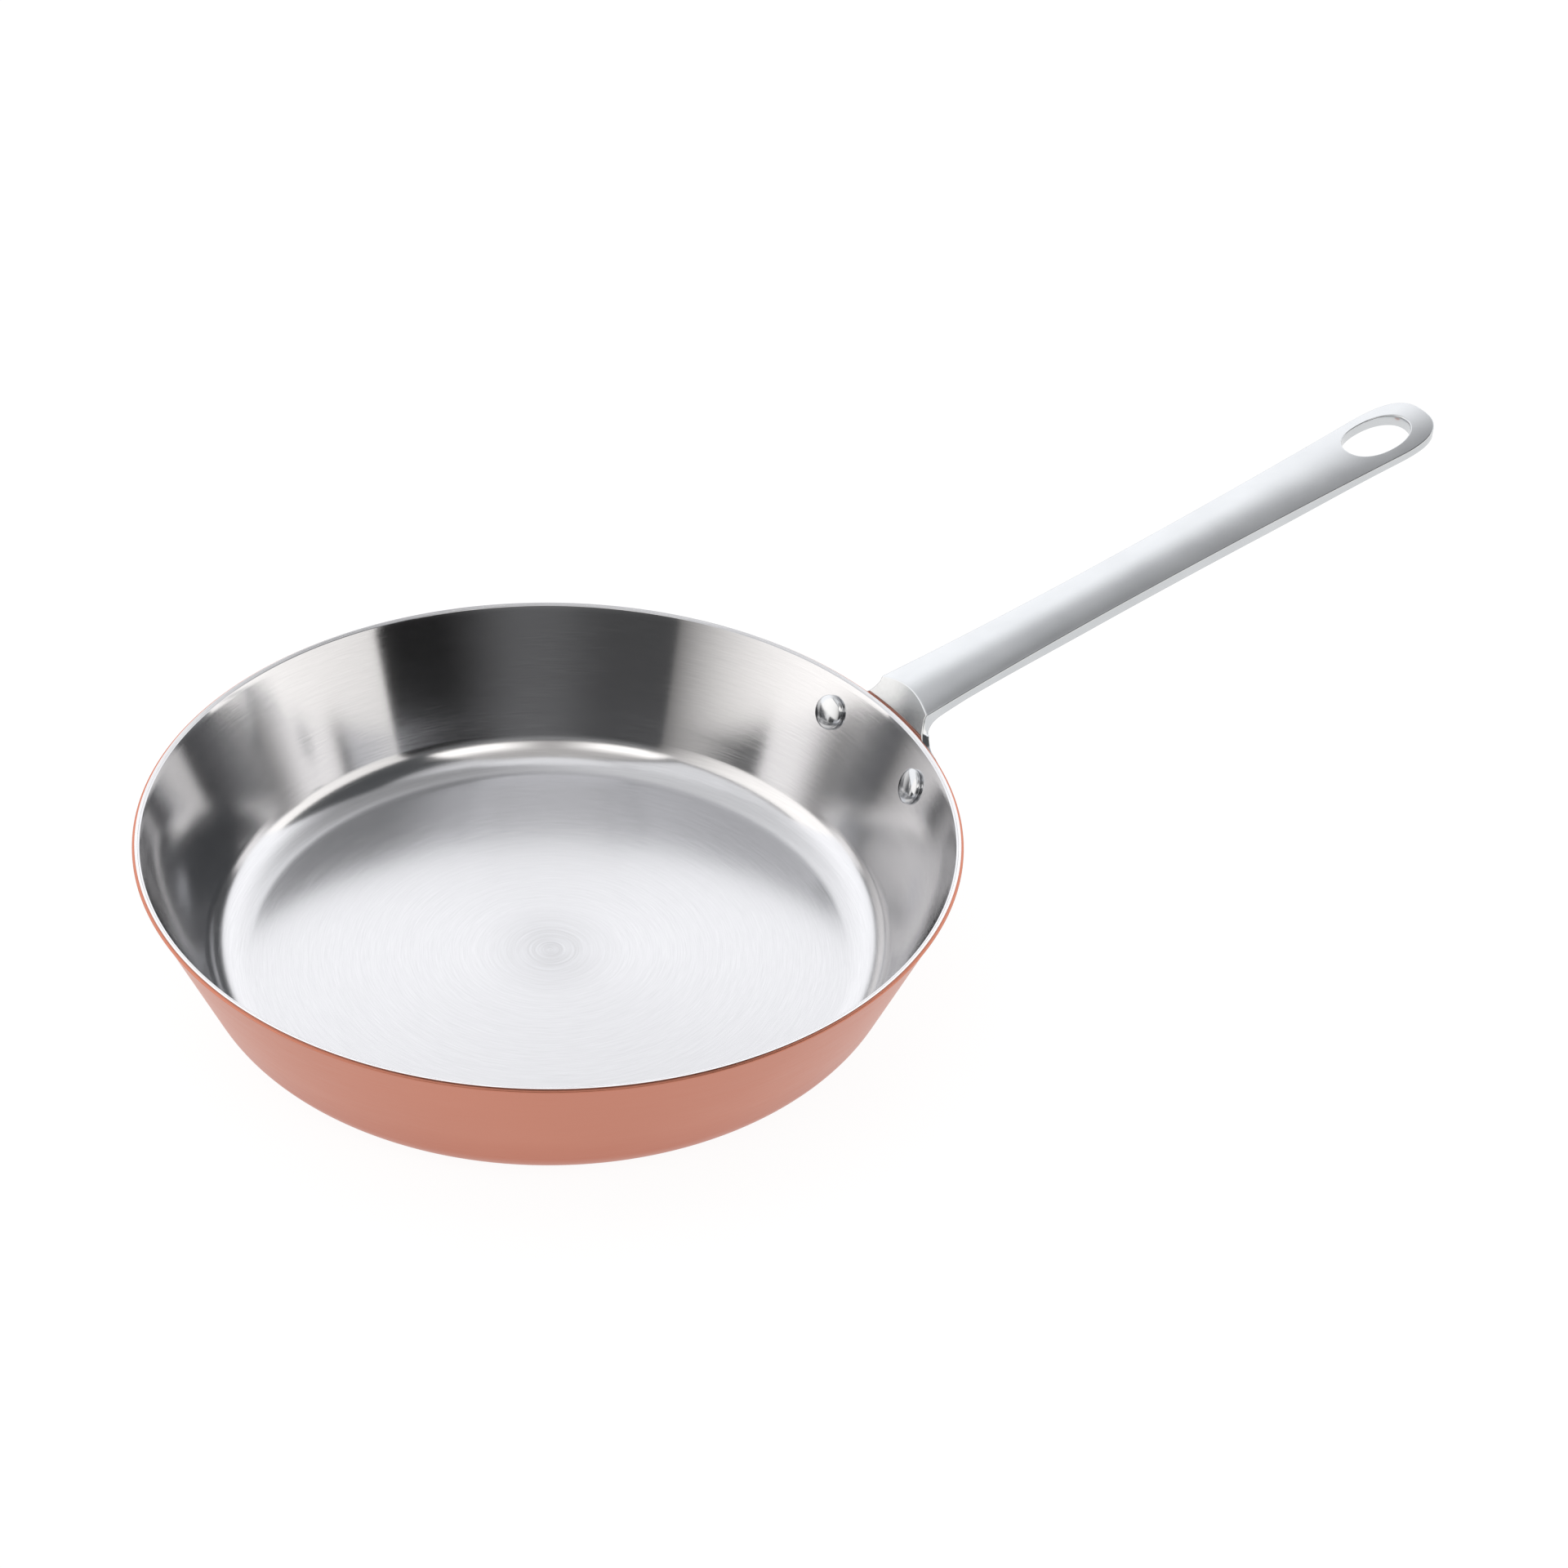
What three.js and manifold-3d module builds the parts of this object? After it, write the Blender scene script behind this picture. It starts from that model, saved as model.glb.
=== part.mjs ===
// Clad copper frying pan with a cast handle held by two rivets.
// Millimetres, +Z up, origin at the centre of the flat underside, handle along +X.
import * as THREE from "three";
import { mergeVertices } from "three/addons/utils/BufferGeometryUtils.js";
import { LoftGeometry } from "three/addons/geometries/LoftGeometry.js";
import Module from "manifold-3d";

const wasm = await Module();
wasm.setup();

const { cos, sin, tan, sqrt, hypot, PI } = Math;
const degrees = PI / 180;

// ---- driving dimensions -------------------------------------------------------------

const body = {
  height: 52.2,
  wallBase: 107.3, // radius at which the outer wall line meets the underside plane
  wallAngle: 66.5 * degrees, // wall line above the horizontal
  cornerRadius: 17.5, // outer corner between underside and wall
  beadProud: 0.3, // how far the copper edge is rolled outwards at the rim
  beadHeight: 1.5,
  segments: 64,
};

// The clad sheet from the outside in, with a hairline between the metals.
const copperThickness = 0.8;
const aluminiumThickness = 0.7;
const steelThickness = 0.5;
const bondGap = 0.03;

const rivet = {
  azimuth: 11.5 * degrees, // either side of the handle
  height: 40.9, // centre of the head on the inner wall
  headDiameter: 11.8,
  headHeight: 2.3,
  headEdge: 0.6, // straight edge under the dome
  shankDiameter: 6,
  tailDiameter: 9.2,
  tailHeight: 1.9,
  headGap: 0.28, // lets a flat head sit on the hollow wall
  tailGap: 0.08,
  fitGap: 0.06, // round the shank
  segments: 20,
};

const bar = {
  edge: 4, // thickness at the sides of the grip
  tipEdge: 3.1, // the same at the tip
  slope: 0.2395,
  tipEdgeHeight: 103.4, // top of the side edge above the table, at tipStart
  tipStart: 322, // distance from the pan's axis at which the sides round off into the tip
  tipEnd: 344.6,
  tipRoundness: 2.9,
  tipHalfWidth: 13.6,
  waistHalfWidth: 11.3,
  waistAt: 214,
  rootHalfWidth: 13.4,
  rootAt: 134,
  crownAtRoot: 2.5, // rise of the middle over the side edges
  crownAtTip: 1.3,
  bevel: 0.35,
  channelDepth: 2.4, // hollow of the underside
  channelLip: 3.2,
  start: 124, // the bar is built from inside the wall and then cut back to it
};

const hole = { centre: 324.6, halfLength: 12.5, halfWidth: 9.1, roundness: 2.2 };

const flange = {
  thickness: 3, // of the ears
  neckThickness: 3.2, // where the plate turns from the wall into the bar
  earRadius: 7.5,
  filletRadius: 13, // between the neck and the underside of the bar
  neckFlareTop: 56.5,
  clearance: 0.06, // to the copper
  rimClearance: 0.4, // to the wall line, past the copper's bead
  faceAngle: 66 * degrees, // of the face above the rim, nearly in line with the wall
};

// ---- shared helpers -----------------------------------------------------------------

const lerp = THREE.MathUtils.lerp;
const smooth = THREE.MathUtils.smoothstep;

/** Turns a three.js geometry into a manifold solid. */
function toSolid(geometry) {
  const bare = new THREE.BufferGeometry().copy(geometry);
  bare.deleteAttribute("normal");
  bare.deleteAttribute("uv");
  const merged = mergeVertices(bare, 1e-5);
  const mesh = new wasm.Mesh({
    numProp: 3,
    vertProperties: new Float32Array(merged.attributes.position.array),
    triVerts: new Uint32Array(merged.index.array),
  });
  return new wasm.Manifold(mesh);
}

/** Turns a manifold solid back into a three.js geometry. */
function toGeometry(solid) {
  const { vertProperties, triVerts } = solid.getMesh();
  const geometry = new THREE.BufferGeometry();
  geometry.setAttribute("position", new THREE.BufferAttribute(vertProperties, 3));
  geometry.setIndex(new THREE.BufferAttribute(triVerts, 1));
  geometry.computeVertexNormals();
  return geometry;
}

/** Revolves [radius, height] points, listed bottom to top on the outside, about +Z. */
function revolve(profile, segments) {
  const points = profile.map(([radius, height]) => new THREE.Vector2(radius, height));
  return new THREE.LatheGeometry(points, segments).rotateX(PI / 2);
}

/** Points of an arc from one angle to another, both ends included. */
function arc(centreX, centreZ, radius, from, to, steps) {
  const points = [];
  for (let i = 0; i <= steps; i++) {
    const angle = lerp(from, to, i / steps);
    points.push([centreX + radius * cos(angle), centreZ + radius * sin(angle)]);
  }
  return points;
}

// ---- the clad body ------------------------------------------------------------------

/** Radius of the wall line that lies `depth` inside the outer wall. */
function wallRadius(height, depth = 0) {
  return body.wallBase + height / tan(body.wallAngle) - depth / sin(body.wallAngle);
}

/** Floor and corner of the surface `depth` inside the outer one, from the axis outwards. */
function bowlLine(depth) {
  const setback = body.cornerRadius * tan(body.wallAngle / 2);
  const centre = body.wallBase - setback;
  const radius = body.cornerRadius - depth;
  const corner = arc(centre, body.cornerRadius, radius, -PI / 2, body.wallAngle - PI / 2, 5);
  return [[0, depth], ...corner];
}

/** Closed profile of one metal layer between two depths below the outer surface. */
function layerProfile(outerDepth, innerDepth, edge) {
  return [...bowlLine(outerDepth), ...edge, ...bowlLine(innerDepth).reverse()];
}

function plainEdge(outerDepth, innerDepth) {
  const top = body.height;
  return [[wallRadius(top, outerDepth), top], [wallRadius(top, innerDepth), top]];
}

/** The copper's own edge: a low bead that stands proud of the wall, rounded on top. */
function beadedEdge(innerDepth) {
  const top = body.height;
  const root = top - body.beadHeight;
  const round = 0.6;
  const bulge = wallRadius(top - round) + body.beadProud - 0.15;
  return [
    [wallRadius(root), root],
    [wallRadius(root) + body.beadProud, root + 0.25],
    ...arc(bulge - round, top - round, round, 0, PI / 2, 3),
    [wallRadius(top, innerDepth), top],
  ];
}

const copperInner = copperThickness;
const coreOuter = copperInner + bondGap;
const coreInner = coreOuter + aluminiumThickness;
const liningOuter = coreInner + bondGap;
const liningInner = liningOuter + steelThickness;

/** Places a geometry whose axis is +Z on one rivet's axis, z = 0 on the inner wall. */
function onRivetAxis(geometry, side) {
  const wallNormal = PI / 2 + (PI / 2 - body.wallAngle); // tips +Z out and down
  geometry.rotateY(wallNormal);
  geometry.translate(wallRadius(rivet.height, liningInner), 0, rivet.height);
  return geometry.rotateZ(side * rivet.azimuth);
}

function rivetHole(side) {
  const radius = rivet.shankDiameter / 2 + rivet.fitGap;
  const cutter = new THREE.CylinderGeometry(radius, radius, 30, rivet.segments).rotateX(PI / 2);
  return toSolid(onRivetAxis(cutter, side));
}

const rivetHoles = rivetHole(1).add(rivetHole(-1));

function cladLayer(outerDepth, innerDepth, edge) {
  const profile = layerProfile(outerDepth, innerDepth, edge);
  return toSolid(revolve(profile, body.segments)).subtract(rivetHoles);
}

// ---- the handle ---------------------------------------------------------------------

/** Half-width of the bar before its end is rounded off: a waist that widens both ways. */
function barHalfWidth(x) {
  const towardsTip = x > bar.waistAt;
  const end = towardsTip ? bar.tipStart : bar.rootAt;
  const endHalfWidth = towardsTip ? bar.tipHalfWidth : bar.rootHalfWidth;
  const share = (x - bar.waistAt) / (end - bar.waistAt);
  return lerp(bar.waistHalfWidth, endHalfWidth, share ** 2);
}

/** How much of the half-width is left where the tip rounds off. */
function tipShare(x) {
  const past = Math.max(0, x - bar.tipStart) / (bar.tipEnd - bar.tipStart);
  return (1 - past ** bar.tipRoundness) ** (1 / bar.tipRoundness);
}

function edgeHeight(x) {
  return bar.tipEdgeHeight + bar.slope * (x - bar.tipStart);
}

/** Thickness of the bar's side edge: thin at the neck, fuller at the grip, thin at the tip. */
function edgeThickness(x) {
  const grip = lerp(flange.neckThickness, bar.edge, smooth(x, 150, 200));
  return lerp(grip, bar.tipEdge, smooth(x, 270, bar.tipStart));
}

/** Height of the crowned top: an arched surface that carries on past the rounded tip. */
function crownHeight(x, y) {
  const along = (x - bar.rootAt) / (bar.tipStart - bar.rootAt);
  const rise = lerp(bar.crownAtRoot, bar.crownAtTip, THREE.MathUtils.clamp(along, 0, 1));
  const fullWidth = barHalfWidth(Math.min(x, bar.tipStart));
  return edgeHeight(x) + rise * (1 - (y / fullWidth) ** 2);
}

/** Underside of the bar, and of the neck that turns down along the wall. */
function undersideHeight(x) {
  const radius = flange.filletRadius;
  const tilt = Math.atan(bar.slope);
  const wallSlope = tan(body.wallAngle);
  const neckDepth = flange.clearance + flange.neckThickness;
  // The fillet's centre lies one radius off both the neck's face and the bar's underside.
  const drop = flange.neckThickness + radius / cos(tilt);
  const rise = wallRadius(0, -neckDepth - radius) * wallSlope;
  const centreX = (edgeHeight(0) - drop + rise) / (wallSlope - bar.slope);
  if (x > centreX - radius * sin(tilt)) return edgeHeight(x) - edgeThickness(x);
  if (x > centreX - radius * sin(body.wallAngle)) {
    return edgeHeight(centreX) - drop + sqrt(radius ** 2 - (x - centreX) ** 2);
  }
  const neckHeight = (x - wallRadius(0, -neckDepth)) * wallSlope;
  return Math.max(neckHeight, rivet.height - flange.earRadius / 2);
}

/** How much of the underside's channel is present at x: none at the root and the tip. */
function channelShare(x) {
  return smooth(x, bar.rootAt + 14, bar.rootAt + 34) * (1 - smooth(x, 284, 304));
}

/** One cross-section of the bar, anticlockwise as seen from the tip. */
function barSection(x) {
  const halfWidth = barHalfWidth(x) * tipShare(x);
  const bottom = undersideHeight(x);
  const bevel = Math.min(bar.bevel, halfWidth / 4);
  const crownEdge = halfWidth - bevel;
  const lip = Math.max(halfWidth - bar.channelLip, halfWidth / 2);
  const points = [];
  const crownSteps = 6;
  for (let i = 0; i <= crownSteps; i++) {
    const y = lerp(crownEdge, -crownEdge, i / crownSteps);
    points.push([y, crownHeight(x, y)]);
  }
  points.push([-halfWidth, crownHeight(x, halfWidth) - bevel]);
  points.push([-halfWidth, bottom + bevel], [-crownEdge, bottom]);
  const channelSteps = 6;
  for (let i = 0; i <= channelSteps; i++) {
    const across = lerp(-1, 1, i / channelSteps);
    const rise = bar.channelDepth * channelShare(x) * (1 - across ** 4);
    points.push([across * lip, bottom + rise]);
  }
  points.push([crownEdge, bottom], [halfWidth, bottom + bevel]);
  points.push([halfWidth, crownHeight(x, halfWidth) - bevel]);
  // x is a distance from the pan's axis, so that the neck bends with the wall.
  return points.map(([y, z]) => new THREE.Vector3(sqrt(x * x - y * y), y, z));
}

/** The bar from inside the wall's line to the rounded tip. */
function barSolid() {
  const sections = [];
  const rootEnd = 152;
  for (let x = bar.start; x < rootEnd; x += 1.75) sections.push(barSection(x));
  const gripSteps = 15;
  for (let i = 0; i < gripSteps; i++) {
    sections.push(barSection(lerp(rootEnd, bar.tipStart, i / gripSteps)));
  }
  // Stations crowd towards the end, where the outline turns fastest.
  const tipSteps = 9;
  const bluntEnd = bar.tipEnd - 0.03;
  for (let i = 0; i <= tipSteps; i++) {
    const share = sin((i / tipSteps) * (PI / 2));
    sections.push(barSection(lerp(bar.tipStart, bluntEnd, share)));
  }
  return toSolid(new LoftGeometry(sections, { capStart: true, capEnd: true }));
}

/** Upright prism of the hanging hole, a soft-cornered oval. */
function hangingHole() {
  const outline = new THREE.Shape();
  const steps = 40;
  for (let i = 0; i < steps; i++) {
    const angle = (i / steps) * 2 * PI;
    const power = 2 / hole.roundness;
    const x = hole.centre + hole.halfLength * Math.sign(cos(angle)) * Math.abs(cos(angle)) ** power;
    const y = hole.halfWidth * Math.sign(sin(angle)) * Math.abs(sin(angle)) ** power;
    if (i === 0) outline.moveTo(x, y);
    else outline.lineTo(x, y);
  }
  const prism = new THREE.ExtrudeGeometry(outline, { depth: 40, bevelEnabled: false });
  return toSolid(prism.translate(0, 0, edgeHeight(hole.centre) - 20));
}

/** Solid cone whose side lies `offset` outside the wall. */
function wallCone(offset) {
  const [lowest, highest] = [20, 75];
  const profile = [
    [0, lowest],
    [wallRadius(lowest, -offset), lowest],
    [wallRadius(highest, -offset), highest],
    [0, highest],
  ];
  return toSolid(revolve(profile, body.segments));
}

/** Outline of the flange seen along the handle: two round ears and a flared neck. */
function flangeOutline() {
  const across = wallRadius(rivet.height, liningInner) * sin(rivet.azimuth);
  const { earRadius, neckFlareTop } = flange;
  const low = rivet.height - earRadius;
  const high = rivet.height + earRadius;
  const neck = bar.rootHalfWidth;
  const outline = new THREE.Shape();
  outline.moveTo(neck, neckFlareTop);
  outline.lineTo(-neck, neckFlareTop);
  outline.bezierCurveTo(-neck - 2, high + 4, -neck - 4, high, -across, high);
  outline.absarc(-across, rivet.height, earRadius, PI / 2, 1.5 * PI, false);
  outline.lineTo(across, low);
  outline.absarc(across, rivet.height, earRadius, -PI / 2, PI / 2, false);
  outline.bezierCurveTo(neck + 4, high, neck + 2, high + 4, neck, neckFlareTop);
  return outline;
}

/** Plate bent to the wall, cut to the flange's outline. */
function flangeSolid() {
  const outer = wallCone(flange.clearance + flange.thickness);
  const prism = new THREE.ExtrudeGeometry(flangeOutline(), {
    depth: 60,
    bevelEnabled: false,
    curveSegments: 8,
  });
  // Turned so that it is extruded along +X, with the outline's y upright.
  prism.rotateX(PI / 2).rotateZ(PI / 2).translate(100, 0, 0);
  return toSolid(prism).intersect(outer);
}

/** What the handle keeps clear of: the wall, its bead and the air inside the leaning face. */
function insideOfHandle() {
  const beadFoot = body.height - body.beadHeight - 0.2;
  const rim = wallRadius(body.height, -flange.rimClearance);
  const highest = 90;
  const profile = [
    [0, 10],
    [wallRadius(10, -flange.clearance), 10],
    [wallRadius(beadFoot, -flange.clearance), beadFoot],
    [wallRadius(beadFoot, -flange.rimClearance), beadFoot],
    [rim, body.height],
    [rim + (highest - body.height) / tan(flange.faceAngle), highest],
    [0, highest],
  ];
  return toSolid(revolve(profile, body.segments));
}

/** Bar and flange as one casting, hollowed to fit the wall and drilled. */
function handleSolid() {
  return barSolid()
    .add(flangeSolid())
    .subtract(insideOfHandle())
    .subtract(hangingHole())
    .subtract(rivetHoles)
    .simplify(0.003);
}

// ---- the rivets ---------------------------------------------------------------------

/** Domed head inside the pan, shank through wall and flange, formed tail outside. */
function rivetGeometry(side) {
  const shank = rivet.shankDiameter / 2;
  const headSeat = -rivet.headGap;
  const tailSeat = liningInner + flange.clearance + flange.thickness + rivet.tailGap;
  const profile = [
    ...dome(rivet.headDiameter / 2, rivet.headHeight, rivet.headEdge)
      .map(([radius, rise]) => [radius, headSeat - rise]),
    [rivet.headDiameter / 2, headSeat],
    [shank, headSeat],
    [shank, tailSeat],
    [rivet.tailDiameter / 2, tailSeat],
    ...dome(rivet.tailDiameter / 2, rivet.tailHeight, 0.5)
      .reverse()
      .map(([radius, rise]) => [radius, tailSeat + rise]),
  ];
  return onRivetAxis(revolve(profile, rivet.segments), side);
}

/** [radius, rise] points of a dome on a short straight edge, from its top outwards. */
function dome(radius, height, edge) {
  const points = [];
  const steps = 6;
  for (let i = 0; i <= steps; i++) {
    const angle = (i / steps) * (PI / 2);
    points.push([radius * sin(angle), edge + (height - edge) * cos(angle)]);
  }
  return points;
}

// ---- assembly -----------------------------------------------------------------------

const copper = { color: 0xc4806c, metalness: 1, roughness: 0.35 };
const aluminium = { color: 0xd2d4d6, metalness: 1, roughness: 0.4 };
const brushedSteel = { color: 0xc9cbcd, metalness: 1, roughness: 0.3 };
const polishedSteel = { color: 0xd8dadc, metalness: 1, roughness: 0.15 };

const pan = new THREE.Group();
pan.name = "frying_pan";

function addPiece(name, geometry, finish) {
  const mesh = new THREE.Mesh(geometry, new THREE.MeshStandardMaterial(finish));
  mesh.name = name;
  pan.add(mesh);
}

const copperSolid = cladLayer(0, copperInner, beadedEdge(copperInner));
const coreSolid = cladLayer(coreOuter, coreInner, plainEdge(coreOuter, coreInner));
const liningSolid = cladLayer(liningOuter, liningInner, plainEdge(liningOuter, liningInner));

addPiece("copper_shell", toGeometry(copperSolid), copper);
addPiece("aluminium_core", toGeometry(coreSolid), aluminium);
addPiece("steel_lining", toGeometry(liningSolid), brushedSteel);
addPiece("handle", toGeometry(handleSolid()), polishedSteel);
addPiece("rivet_left", rivetGeometry(1), polishedSteel);
addPiece("rivet_right", rivetGeometry(-1), polishedSteel);

export default pan;
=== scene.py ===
"""Looks of the clad copper frying pan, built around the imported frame.

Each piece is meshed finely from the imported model's own dimensions, in millimetres, and replaces
the CAD node that it stands for. The studio's cards stand round the line from the camera to the
pan's axis.
"""

from math import atan, cos, pi, radians, sin, sqrt, tan

import bmesh
import bpy
import numpy as np
from mathutils import Matrix, Vector


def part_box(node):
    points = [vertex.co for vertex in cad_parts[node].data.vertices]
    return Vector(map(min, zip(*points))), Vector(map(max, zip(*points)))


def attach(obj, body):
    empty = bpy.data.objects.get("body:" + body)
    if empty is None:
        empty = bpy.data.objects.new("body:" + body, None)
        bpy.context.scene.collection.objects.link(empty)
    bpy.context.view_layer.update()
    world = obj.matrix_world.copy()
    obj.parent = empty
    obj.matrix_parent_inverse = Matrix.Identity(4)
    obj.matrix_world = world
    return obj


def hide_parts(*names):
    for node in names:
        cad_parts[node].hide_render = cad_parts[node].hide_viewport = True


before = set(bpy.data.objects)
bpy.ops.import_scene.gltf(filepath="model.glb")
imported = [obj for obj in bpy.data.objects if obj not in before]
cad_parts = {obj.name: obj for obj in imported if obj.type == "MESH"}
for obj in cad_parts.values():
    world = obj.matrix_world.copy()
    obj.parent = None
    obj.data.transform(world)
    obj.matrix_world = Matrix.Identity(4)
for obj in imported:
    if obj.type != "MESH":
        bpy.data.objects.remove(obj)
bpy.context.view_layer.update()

MM = 0.001
WELD = 0.002  # points closer than this become one

# ---- dimensions, in millimetres ------------------------------------------------------
# A depth is measured into the wall from its outer face, at right angles to it. On the handle, s is
# the distance from the pan's axis and y the distance from the handle's middle line.

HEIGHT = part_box("copper_shell")[1].z / MM
RIM_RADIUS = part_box("copper_shell")[1].x / MM
WALL_ANGLE = radians(66.5)  # wall line above the horizontal
WALL_BASE = 107.3  # radius at which the outer wall line meets the underside plane
CORNER_RADIUS = 17.5
FLOOR_SHARES = (0, 0.02, 0.2, 0.4, 0.6, 0.8, 0.97)  # the floor's rings; the corner starts at 1
CORNER_STEPS = 20
WALL_STEPS = 8
SEGMENTS = 320

COPPER_DEPTH = 0.8  # of the copper's inner face
CORE_DEPTHS = (0.83, 1.53)
LINING_DEPTHS = (1.56, 2.06)
EDGE_BAND = 2.2  # the shaped edges of all three metals lie within this much of the rim
RIM_SLOPE = tan(radians(16))  # the edges of core and lining fall towards the inside
CORE_ROUNDS = (0.1, 0.05)  # outer and inner corner of the edge
LINING_ROUNDS = (0.05, 0.14)

BEAD_FOOT = 1.15  # the groove under the copper's bead, down from the rim
BEAD_TOP = 0.42  # the bead's top, down from the rim
BEAD_MARGIN = 0.01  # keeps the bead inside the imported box
BELLY_ROUND, BELLY_RISE = 0.28, 0.3  # radius under the bead, and its centre above the foot
SHOULDER_ROUND = 0.42
GROOVE = 0.34  # its depth
GROOVE_LEAD = ((0.55, 0), (0.32, 0.01), (0.2, 0.05))  # how far below the foot, and how deep there
GROOVE_FLOOR = (-0.06, 0.04)  # up from the foot

RIVET_AZIMUTH = radians(11.5)
RIVET_HEIGHT = 40.9
RIVET_SEGMENTS = 96
HEAD_RADIUS = 5.9
HEAD_HEIGHT = 2.3
HEAD_EDGE = 0.75  # short side under the dome
HEAD_SEAT = 0.16  # the flat head clears the hollow wall by this
SHANK_RADIUS = 3.0
SHANK_FIT = 0.06
TAIL_RADIUS = 4.6
TAIL_HEIGHT = 1.9
TAIL_EDGE = 0.5
TAIL_SEAT = 5.36  # from the lining, just past the back of the flange
DOME_POWER = 0.94  # 1 makes the dome an ellipse, less makes it fuller
DRILL_REACH = 15
DRILL_SEGMENTS = 64

TIP_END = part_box("handle")[1].x / MM
TIP_START = 322.0  # where the outline starts to round
TIP_ROUNDNESS = 2.9  # power of the superellipse that rounds it
TIP_EDGE_HEIGHT = 103.4  # height of the bar's edge at TIP_START
SLOPE = 0.2395  # rise of the bar's edge for each millimetre outwards
WAIST_AT, WAIST_HALF = 214.0, 11.3  # the bar's narrowest place and its half-width there
ROOT_AT, ROOT_HALF = 134.0, 13.4
TIP_HALF = 13.6
CROWN_AT_ROOT, CROWN_AT_TIP = 2.5, 1.3
GRIP_THICKNESS, TIP_THICKNESS = 4.0, 3.1  # at the bar's edge
THICKENS, THINS = (150, 200), (270, TIP_START)
CHANNEL_DEPTH, CHANNEL_LIP = 2.4, 3.2
CHANNEL_STARTS, CHANNEL_ENDS = (148, 168), (284, 304)
BEVEL = 0.42
BEVEL_TURNS = [radians(a) for a in (30, 60, 90)]
ACROSS = np.sin(np.linspace(-pi / 2, pi / 2, 37))  # shares of the half-width, crowded at the edges
BAR_ROWS = 101
NECK_START = 150.0

PATCH_START = 300.0  # where the bar's rows give way to rings round the hole
PATCH_RINGS = 19
TIP_STEPS = 61  # points from the last row of the bar to the very tip
HOLE_AT, HOLE_ROUNDNESS = 324.6, 2.2  # its middle, and the power of its superellipse
HOLE_HALVES = (12.5, 9.1)  # half its length, half its width
HOLE_BEVEL = 0.4

PLATE = 3.2  # thickness of the flange
PLATE_CLEARANCE = 0.06  # between flange and wall
RIM_CLEARANCE = 0.4  # the same above the step that clears the bead
STEP_HEIGHTS = np.linspace(51.7, 50.6, 6)  # rows of the flange above the step
STEP_FOOT = 50.45
EAR_RADIUS = 7.5
EAR_TOP, EAR_FOOT = RIVET_HEIGHT + EAR_RADIUS, RIVET_HEIGHT - EAR_RADIUS
EAR_ROWS = 40
ROW_GAP = 0.02  # least gap between the last of those rows and the rounded edge
OUTLINE_STEPS = 59  # in the flare and again in the ear
FLARE_TOP = 56.5
FLARE_PULL = 4.0  # reach of the flare's control points
FACE_ANGLE = radians(66)  # lean of the face that shows above the rim
CREASE_ROUND = 0.35
CREASE_SHARE = 0.08  # part of the crown and of the face that the rounded crease takes
FILLET = 13.0
FILLET_STEPS = 200
NECK_FOOT = 48.0  # height at which the underside of the neck has become the plate's back
THICK_HALF, THIN_HALF = 13.2, 16.5  # solid up to the first, as thin as the plate past the second
THIN_SHARE = 0.95  # the same limit on the ears, as a share of their half-width


# ---- mesh helpers --------------------------------------------------------------------


def lerp(a, b, share):
    return a + (b - a) * share


def smooth(x, low, high):
    """Share from 0 at low to 1 at high, level at both ends."""
    share = np.clip((x - low) / (high - low), 0, 1)
    return share * share * (3 - 2 * share)


def bezier(corners, share):
    """Point at a share of the way along the curve that these control points pull."""
    while len(corners) > 1:
        corners = [lerp(a, b, share) for a, b in zip(corners, corners[1:])]
    return corners[0]


def arc(centre_x, centre_z, radius, start, end, steps):
    """[x, z] points of an arc from one angle to another."""
    turns = np.linspace(start, end, steps + 1)
    return [(centre_x + radius * cos(t), centre_z + radius * sin(t)) for t in turns]


def resample(points, count):
    """The polyline's points at even steps along it."""
    points = np.array(points, float)
    lengths = np.linalg.norm(np.diff(points, axis=0), axis=1)
    at = np.concatenate([[0], np.cumsum(lengths)])
    steps = np.linspace(0, at[-1], count)
    return np.stack([np.interp(steps, at, column) for column in points.T], axis=1)


def link(name, data):
    """New object in the scene."""
    made = bpy.data.objects.new(name, data)
    bpy.context.scene.collection.objects.link(made)
    return made


def make_object(name, points, faces):
    """Mesh object from points in millimetres, welded, with outward normals."""
    mesh = bpy.data.meshes.new(name)
    mesh.from_pydata((np.array(points) * MM).tolist(), [], faces)
    made = bmesh.new()
    made.from_mesh(mesh)
    bmesh.ops.remove_doubles(made, verts=made.verts, dist=WELD * MM)
    bmesh.ops.recalc_face_normals(made, faces=made.faces)
    made.to_mesh(mesh)
    made.free()
    return link(name, mesh)


def grid_faces(rows, columns, start=0, closed=False):
    """Quads of a grid of points stored row by row from index start."""
    faces = []
    for i in range(rows - 1):
        for j in range(columns if closed else columns - 1):
            a = start + i * columns + j
            b = start + i * columns + (j + 1) % columns
            faces.append((a, b, b + columns, a + columns))
    return faces


class Skin:
    """Points and faces of one mesh, added patch by patch."""

    def __init__(self):
        self.points = []
        self.faces = []

    def grid(self, rows, closed=False):
        start = len(self.points)
        for row in rows:
            self.points.extend(row)
        self.faces.extend(grid_faces(len(rows), len(rows[0]), start, closed))

    def face(self, corners):
        start = len(self.points)
        self.points.extend(corners)
        self.faces.append(tuple(range(start, len(self.points))))


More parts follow.
